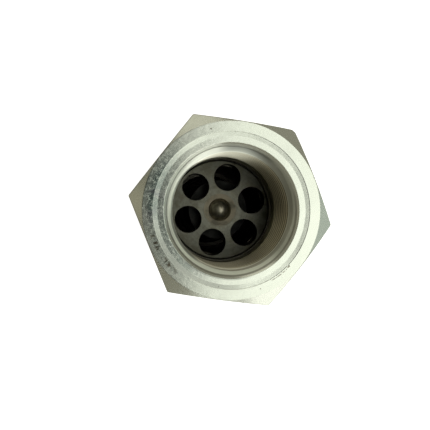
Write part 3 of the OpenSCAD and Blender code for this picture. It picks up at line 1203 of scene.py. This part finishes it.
class GeometryRule(NodeTree):
    """A Geometry Nodes tree with named sizes that makes one plain mesh."""

    def __init__(self, name: str) -> None:
        """Start the tree.

        Args:
            name: Name of the rule.
        """
        self.group = bpy.data.node_groups.new(name, "GeometryNodeTree")
        super().__init__(self.group)
        self.start = self.add("NodeGroupInput")
        self.identifiers: dict[str, str] = {}

    def size(self, name: str) -> Value:
        """Add a named input.

        Args:
            name: Name of the input.

        Returns:
            The input as a value.
        """
        item = self.group.interface.new_socket(name, in_out="INPUT", socket_type="NodeSocketFloat")
        self.identifiers[name] = item.identifier
        return Value(self, self.start.outputs[name])

    def grid(self, along: Value, around: Value) -> tuple[bpy.types.NodeSocket, Value, Value]:
        """Make a grid whose places count its rows.

        Args:
            along: Steps in the first direction.
            around: Steps in the second direction.

        Returns:
            The grid, and the step of each point in both directions.
        """
        made = self.add(
            "GeometryNodeMeshGrid",
            inputs={"Size X": along, "Size Y": around, "Vertices X": along + 1.0, "Vertices Y": around + 1.0},
        )
        spot = self.add("ShaderNodeSeparateXYZ", inputs={0: self.add("GeometryNodeInputPosition").outputs[0]})
        step_x = self.math("ROUND", Value(self, spot.outputs[0]) + along * 0.5)
        step_y = self.math("ROUND", Value(self, spot.outputs[1]) + around * 0.5)
        return made.outputs["Mesh"], step_x, step_y

    def place(
        self, mesh: bpy.types.NodeSocket, radius: Value, turn: Value, height: Value, side: object = 1.0
    ) -> bpy.types.NodeSocket:
        """Put the points of a mesh round the axis.

        Args:
            mesh: The mesh.
            radius: Distance from the axis in millimetres.
            turn: Angle round the axis in radians.
            height: Height in millimetres.
            side: -1 to mirror across the X axis, else 1.

        Returns:
            The mesh in metres, with doubles merged.
        """
        x = self.math("COSINE", turn) * radius * MM
        y = self.math("SINE", turn) * radius * MM * side
        spot = self.combine(x, y, height * MM)
        moved = self.add("GeometryNodeSetPosition", inputs={"Geometry": mesh, "Position": spot})
        merged = self.add("GeometryNodeMergeByDistance", inputs={"Geometry": moved.outputs[0], "Distance": 0.001 * MM})
        return merged.outputs[0]

    def make(self, result: bpy.types.NodeSocket, sizes: dict[str, float]) -> bpy.types.Mesh:
        """End the tree and turn its result into a mesh.

        Args:
            result: Geometry to keep.
            sizes: Value of each named input.

        Returns:
            A plain mesh.
        """
        self.group.interface.new_socket("Finish", in_out="INPUT", socket_type="NodeSocketMaterial")
        self.group.interface.new_socket("Geometry", in_out="OUTPUT", socket_type="NodeSocketGeometry")
        real = self.add("GeometryNodeRealizeInstances", inputs={0: result})
        finish = self.start.outputs["Finish"]
        dressed = self.add("GeometryNodeSetMaterial", inputs={0: real.outputs[0], "Material": finish})
        self.add("NodeGroupOutput", inputs={0: dressed.outputs[0]})
        return self.evaluate(sizes)

    def evaluate(self, sizes: dict[str, float]) -> bpy.types.Mesh:
        """Run the finished tree once.

        Args:
            sizes: Value of each named input.

        Returns:
            A plain mesh.
        """
        holder = bpy.data.objects.new("rule_holder", bpy.data.meshes.new("rule_holder"))
        bpy.context.scene.collection.objects.link(holder)
        modifier = holder.modifiers.new("rule", "NODES")
        modifier.node_group = self.group
        for name, value in sizes.items():
            modifier[self.identifiers[name]] = value
        graph = bpy.context.evaluated_depsgraph_get()
        mesh = bpy.data.meshes.new_from_object(holder.evaluated_get(graph))
        holder.modifiers.remove(modifier)
        bpy.data.objects.remove(holder)
        return tidy_mesh(mesh)


class PortSide(Enum):
    """End of the body that a port is in, as its share of a half turn over."""

    OUTLET = 0.0
    INLET = 1.0


@dataclass(frozen=True)
class PortThread:
    """Right-hand pipe thread of one port: a ridge wound inside the port's wall.

    The ridge reaches bite deep into the wall and stays top_room below the recess, where its winding ends at
    top_end. At the deep end its grooves run out over fade_length. Edges sharper than crest_edge degrees stay sharp.
    """

    side: PortSide
    pitch: float = 2.309
    root_radius: float = 16.6
    crest_radius: float = 15.145
    crest_flat: float = 0.1154
    steepness: float = 1.1
    root_rounding: float = 0.2
    bite: float = 0.14
    top_room: float = 0.15
    top_end: float = 0.2
    fade_length: float = 3.0
    end_turns: float = 1.3
    crest_edge: float = 40.0
    wall_radius: float = 16.625
    mouth_radius: float = 17.4
    recess_depth: float = 0.15
    thread_length: float = 24.0
    body_length: float = 110.0
    start_turn: float = 0.0
    steps_per_turn: int = 96
    rows: int = 40

    def mesh(self) -> bpy.types.Mesh:
        """Wind the ridge.

        Returns:
            Its mesh.
        """
        rule = GeometryRule("port_thread")
        pitch, turns, phase = rule.size("Pitch"), rule.size("Turns"), rule.size("Start Turn")
        crest, root, flat = rule.size("Crest Radius"), rule.size("Root Radius"), rule.size("Crest Flat")
        wall, mouth, recess = rule.size("Wall Radius"), rule.size("Mouth Radius"), rule.size("Recess Depth")
        deepest, wall_end, length = rule.size("Deepest"), rule.size("Wall End"), rule.size("Body Length")
        steps, rows, over = rule.size("Steps per Turn"), rule.size("Rows"), rule.size("Turned Over")

        mesh, i, j = rule.grid(turns * steps, rows + 3.0)
        after = rule.math("GREATER_THAN", j, rows + 1.5)
        column = rule.math("MINIMUM", j, rows) - after * rows
        back = rule.math("GREATER_THAN", j, rows + 0.5) * rule.math("LESS_THAN", j, rows + 2.5)
        off = (column / rows - 0.5) * pitch
        tip = rule.math("LESS_THAN", i, 0.5) + rule.math("GREATER_THAN", i, turns * steps - 0.5)
        depth = deepest - pitch * i / steps - off * (1.0 - tip)
        depth = rule.math("MAXIMUM", depth, recess + self.top_room)

        climb = rule.clamp((rule.math("ABSOLUTE", off) - flat) / (pitch * 0.5 - flat * 2.0))
        rounded = rule.math("SMOOTH_MIN", climb * self.steepness, 1.0, self.root_rounding)
        formed = rule.ramp_up(wall_end - depth, 0.0, self.fade_length)
        cut = crest + (root - crest) * rounded * formed
        cone = mouth - (depth - recess)
        body_wall = rule.math("MAXIMUM", wall, cone)
        hidden = rule.ramp_up(wall - cone, 0.03, -0.02)
        face = rule.math("MAXIMUM", cut, cone) + hidden * 0.05
        base = body_wall + self.bite
        radius = face + (base - face) * back
        radius = radius + ((face + base) * 0.5 - radius) * tip
        turn = (i / steps + phase) * math.tau
        height = length - depth
        height = height + over * (length - height * 2.0)
        made = rule.place(mesh, radius, turn, height, 1.0 - over * 2.0)

        cone_depth = self.recess_depth + self.mouth_radius - self.wall_radius
        deep = cone_depth + self.thread_length
        start = deep + self.end_turns * self.pitch
        wanted = (start - (self.recess_depth + self.top_end)) / self.pitch
        count = round(wanted * self.steps_per_turn) / self.steps_per_turn
        return rule.make(
            made,
            {
                "Pitch": self.pitch,
                "Turns": count,
                "Start Turn": self.start_turn,
                "Crest Radius": self.crest_radius,
                "Root Radius": self.root_radius,
                "Crest Flat": self.crest_flat,
                "Wall Radius": self.wall_radius,
                "Mouth Radius": self.mouth_radius,
                "Recess Depth": self.recess_depth,
                "Deepest": start,
                "Wall End": deep,
                "Body Length": self.body_length,
                "Steps per Turn": float(self.steps_per_turn),
                "Rows": float(self.rows),
                "Turned Over": self.side.value,
            },
        )

    def dress(self, material: bpy.types.Material) -> None:
        """Make the thread in the body's finish."""
        piece = keep_mesh(f"{self.side.name.lower()}_thread", self.mesh(), material, HOUSING)
        piece.data.set_sharp_from_angle(angle=math.radians(self.crest_edge))


@dataclass(frozen=True)
class ReliefSpring:
    """Compression spring with closed, ground ends between its two seats.

    The wire runs out to a tip that stays tip_room from the seat, and its pitch changes softly over bend.
    """

    wire: float = 2.8
    coil: float = 15.2
    low: float = 42.53
    high: float = 71.5
    coils: float = 8.0
    closed_pitch: float = 2.88
    tip_height: float = 0.3
    tip_room: float = 0.4
    bend: float = 0.3
    sharp_edge: float = 35.0
    lift: float = 5.0
    steps_per_turn: int = 60
    sides: int = 20

    def mesh(self) -> bpy.types.Mesh:
        """Wind the wire.

        Returns:
            Its mesh.
        """
        rule = GeometryRule("relief_spring_wire")
        wire, coil, coils = rule.size("Wire"), rule.size("Coil"), rule.size("Coils")
        low, long, closed = rule.size("Low End"), rule.size("Length"), rule.size("Closed Pitch")
        tip, steps, sides = rule.size("Tip Height"), rule.size("Steps per Turn"), rule.size("Sides")
        mesh, i, j = rule.grid(coils * steps, sides)
        wound = i / steps
        first = closed - tip
        rise = (long - first * 2.0) / (coils - 2.0)
        bottom = closed * wound - tip
        middle = rise * (wound - 1.0) + first
        top = long - closed * (coils - wound) + tip
        centre = rule.math("SMOOTH_MIN", rule.math("SMOOTH_MAX", bottom, middle, self.bend), top, self.bend)
        angle = rule.math("MODULO", j, sides) / sides * math.tau
        at_tip = rule.math("LESS_THAN", i, 0.5) + rule.math("GREATER_THAN", i, coils * steps - 0.5)
        across = wire * 0.5 * (1.0 - at_tip)
        height = centre + across * rule.math("SINE", angle)
        height = rule.math("MAXIMUM", height, at_tip * self.tip_room)
        height = rule.math("MINIMUM", height, long - at_tip * self.tip_room)
        radius = coil * 0.5 + across * rule.math("COSINE", angle)
        made = rule.place(mesh, radius, wound * math.tau, low + height)
        return rule.make(
            made,
            {
                "Wire": self.wire,
                "Coil": self.coil,
                "Coils": self.coils,
                "Low End": self.low,
                "Length": self.high - self.low,
                "Closed Pitch": self.closed_pitch,
                "Tip Height": self.tip_height,
                "Steps per Turn": float(self.steps_per_turn),
                "Sides": float(self.sides),
            },
        )

    def dress(self, finish: TurnedMetal) -> None:
        """Make the spring.

        Args:
            finish: Its finish.
        """
        piece = keep_mesh("coil_spring", self.mesh(), finish.material(), HOUSING)
        piece.data.set_sharp_from_angle(angle=math.radians(self.sharp_edge))
        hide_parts("relief_spring")
        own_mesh(piece)


@dataclass(frozen=True)
class SolidPieces:
    """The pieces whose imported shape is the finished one: each gets its finish."""

    finishes: dict[str, Finish]

    def dress(self) -> None:
        """Give every remaining solid its finish."""
        made: dict[str, bpy.types.Material] = {}
        for node, finish in self.finishes.items():
            if finish.name not in made:
                made[finish.name] = finish.material()
            material = made[finish.name]
            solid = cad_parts[node]
            if not solid.material_slots:
                solid.data.materials.append(material)
            for place in solid.material_slots:
                place.material = material
            LOG.info("%s: %s", node, finish.name)


@dataclass(frozen=True)
class SoftLight:
    """A square soft light aimed at the valve's outlet end: its direction in degrees, distance and side in metres."""

    name: str
    bearing: float
    tilt: float
    distance: float
    side: float
    glow: float
    colour: Colour = (1.0, 1.0, 1.0)

    def set_up(self, target: Vector) -> None:
        """Put up the light.

        Args:
            target: Point it is aimed at, in metres.
        """
        turn, lean = math.radians(self.bearing), math.radians(self.tilt)
        away = Vector((math.sin(lean) * math.cos(turn), math.sin(lean) * math.sin(turn), math.cos(lean)))
        data = bpy.data.lights.new(self.name, "AREA")
        data.shape = "SQUARE"
        data.size = self.side
        data.energy = self.glow * math.pi * self.side**2
        data.color = self.colour
        lamp = bpy.data.objects.new(self.name, data)
        aim = away.to_track_quat("Z", "Y").to_matrix().to_4x4()
        lamp.matrix_world = Matrix.Translation(target + away * self.distance) @ aim
        bpy.context.scene.collection.objects.link(lamp)


@dataclass(frozen=True)
class Studio:
    """Camera at the photograph's angle, pale floor, soft lights and a dim warm room."""

    camera_place: Point = (-21.24, -1.69, 273.81)
    camera_forward: Point = (0.1033, -0.0004, -0.9947)
    picture_right: float = 8.2
    lens: float = 54.42
    sensor: float = 36.0
    floor_side: float = 6.0
    floor_gap: float = 0.02
    floor_glow: float = 0.9
    pool_radius: float = 115.0
    flag_corners: tuple[tuple[float, float], ...] = (
        (-120.0, -90.0),
        (-120.0, 90.0),
        (-46.0, 90.0),
        (24.0, -90.0),
    )
    flag_height: float = 276.0
    outlet_height: float = 110.0
    room: tuple[tuple[float, Colour], ...] = (
        (0.0, (0.27, 0.255, 0.205)),
        (0.55, (0.23, 0.215, 0.165)),
        (0.9, (0.10, 0.095, 0.075)),
        (1.0, (0.07, 0.075, 0.07)),
    )
    backdrop: Colour = (0.97, 0.97, 0.96)
    lights: tuple[SoftLight, ...] = (
        SoftLight("key_window", 0.0, 30.5, 0.7, 0.72, 1.3, (0.98, 1.0, 0.93)),
        SoftLight("window_core", -18.0, 25.0, 0.69, 0.32, 0.28, (1.0, 1.0, 0.97)),
        SoftLight("window_glare", -84.0, 60.0, 0.62, 0.26, 1.2, (0.97, 1.0, 0.98)),
        SoftLight("ceiling_patch", 72.0, 9.0, 0.68, 0.09, 0.3, (1.0, 1.0, 0.96)),
        SoftLight("low_window", -47.0, 66.0, 0.6, 0.36, 1.5, (1.0, 1.0, 0.98)),
        SoftLight("blue_card", 0.0, 76.0, 0.6, 0.4, 0.33, (0.74, 0.97, 1.0)),
        SoftLight("pale_wall", 84.0, 40.0, 0.7, 0.44, 0.58, (1.0, 0.99, 0.92)),
        SoftLight("warm_card", 184.0, 63.0, 0.6, 0.2, 0.16, (1.0, 0.88, 0.6)),
        SoftLight("beige_card", 114.0, 72.0, 0.6, 0.34, 0.56, (1.0, 0.98, 0.86)),
    )

    def _camera(self) -> None:
        """Set up the camera."""
        data = bpy.data.cameras.new("camera")
        data.lens = self.lens
        data.sensor_width = self.sensor
        data.clip_start = 0.01
        back = -Vector(self.camera_forward).normalized()
        turn = math.radians(self.picture_right)
        right = Vector((math.cos(turn), math.sin(turn), 0.0))
        right = (right - back * right.dot(back)).normalized()
        up = back.cross(right)
        view = Matrix((right, up, back)).transposed().to_4x4()
        camera = bpy.data.objects.new("camera", data)
        camera.matrix_world = Matrix.Translation(Vector(self.camera_place) * MM) @ view
        bpy.context.scene.collection.objects.link(camera)
        bpy.context.scene.camera = camera

    def _floor(self) -> None:
        """Lay the pale floor just under the valve."""
        half = self.floor_side / 2
        mesh = bpy.data.meshes.new("floor")
        mesh.from_pydata([(-half, -half, 0), (half, -half, 0), (half, half, 0), (-half, half, 0)], [], [(0, 1, 2, 3)])
        mesh.transform(Matrix.Translation((0, 0, -self.floor_gap * MM)))
        floor = bpy.data.objects.new("floor", mesh)
        bpy.context.scene.collection.objects.link(floor)
        t = MaterialTree("pale_floor")
        grain = t.noise(t.place, 0.02, 2.0)
        pale = t.shade((0.8, 0.8, 0.79), 0.98 + (grain - 0.5) * 0.04)
        pool = t.ramp_up(t.radius, self.pool_radius * 1.8, self.pool_radius)
        glow = t.shade((1.0, 1.0, 1.0), pool * 0.8 + 0.2)
        mesh.materials.append(
            t.dress(base_color=pale, roughness=0.8, emission_color=glow, emission_strength=self.floor_glow)
        )

    def _flag(self) -> None:
        """Hang the dark card that the bright end faces mirror on their left side."""
        mesh = bpy.data.meshes.new("dark_flag")
        mesh.from_pydata([(x * MM, y * MM, self.flag_height * MM) for x, y in self.flag_corners], [], [(0, 1, 2, 3)])
        flag = bpy.data.objects.new("dark_flag", mesh)
        bpy.context.scene.collection.objects.link(flag)
        flag.visible_camera = False
        t = MaterialTree("dark_card")
        felt = t.noise(t.place, 0.8, 3.0)
        mesh.materials.append(t.dress(base_color=t.shade((0.05, 0.055, 0.05), 0.8 + felt * 0.4), roughness=0.8))

    def _room(self) -> None:
        """Light the room: dark overhead, taupe towards the horizon, pale where the camera sees past the floor."""
        world = bpy.data.worlds.new("room")
        world.use_nodes = True
        bpy.context.scene.world = world
        t = NodeTree(world.node_tree)
        direction = t.add("ShaderNodeTexCoord").outputs["Generated"]
        up = t.add("ShaderNodeSeparateXYZ", inputs={0: direction}).outputs[2]
        taupe = t.add("ShaderNodeValToRGB", {"stops": self.room}, {0: up})
        lit = t.add("ShaderNodeBackground", inputs={0: taupe.outputs[0], 1: 1.0})
        seen = t.add("ShaderNodeBackground", inputs={0: (*self.backdrop, 1.0), 1: 1.0})
        ray = t.add("ShaderNodeLightPath").outputs["Is Camera Ray"]
        mixed = t.add("ShaderNodeMixShader", inputs={0: ray, 1: lit.outputs[0], 2: seen.outputs[0]})
        t.add("ShaderNodeOutputWorld", inputs={"Surface": mixed.outputs[0]})

    def set_up(self) -> None:
        """Set up the whole studio."""
        scene = bpy.context.scene
        scene.view_settings.view_transform = "Standard"
        self._camera()
        self._floor()
        self._flag()
        self._room()
        target = Vector((0.0, 0.0, self.outlet_height * MM))
        for light in self.lights:
            light.set_up(target)
        LOG.info("studio: %d lights", len(self.lights))


def main() -> None:
    """Build the studio and every piece of the valve."""
    logging.basicConfig(level=logging.INFO, format="%(message)s")
    Studio().set_up()
    steel = HexagonBody().dress(PlatedSteel())
    PortThread(PortSide.OUTLET, start_turn=0.36).dress(steel)
    PortThread(PortSide.INLET, thread_length=19.0, start_turn=0.1).dress(steel)
    spring = TurnedMetal("spring_steel", (0.014, 0.014, 0.013), (0.009, 0.009, 0.008), 0.5, 2.0, 0.006)
    ReliefSpring().dress(spring)
    SolidPieces(inner_finishes()).dress()


if __name__ == "__main__":
    main()
